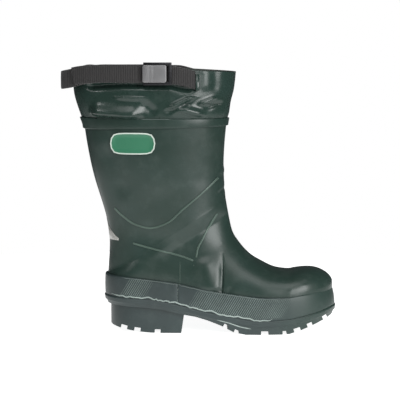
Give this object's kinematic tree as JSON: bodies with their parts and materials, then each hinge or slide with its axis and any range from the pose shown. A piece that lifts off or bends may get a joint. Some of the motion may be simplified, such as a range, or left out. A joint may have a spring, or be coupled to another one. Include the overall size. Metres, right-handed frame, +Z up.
{
  "type": "rubber boot",
  "caption": "Rubber boot for the right foot: hollow upper, ribbed foxing, heeled outsole with lugs, and a soft collar with a buckled strap.",
  "frame": {"origin": "on the ground, in the middle of the heel's flat lug", "axes": "+X points to the toe, +Y to the inner side of the leg, +Z up"},
  "size_m": [0.3736, 0.1194, 0.3649],
  "materials": {
    "boot_rubber": "dark green moulded rubber with a soft gloss",
    "sole_rubber": "dark green-grey rubber, satin, ribbed on the foxing",
    "insole_felt": "grey felt",
    "webbing": "black woven webbing with cross ribs",
    "dark_metal": "dark painted steel",
    "lever_metal": "dull brushed steel",
    "patch_vinyl": "plain green vinyl patch with a pale border",
    "reflective_film": "light grey reflective film"
  },
  "bodies": {
    "root": {"upper": "boot_rubber", "collar": "boot_rubber", "cuff_band": "boot_rubber", "seam_ankle_lateral": "boot_rubber", "seam_ankle_medial": "boot_rubber", "seam_instep_lateral": "boot_rubber", "seam_instep_medial": "boot_rubber", "seam_heel_lateral": "boot_rubber", "seam_heel_medial": "boot_rubber", "strap_keeper_lateral": "boot_rubber", "strap_keeper_medial": "boot_rubber", "foxing": "sole_rubber", "outsole": "sole_rubber", "insole": "insole_felt", "strap": "webbing", "strap_tail": "webbing", "buckle_frame": "dark_metal", "buckle_lever": "lever_metal", "badge_patch": "patch_vinyl", "heel_reflector": "reflective_film"}
  },
  "joints": []
}
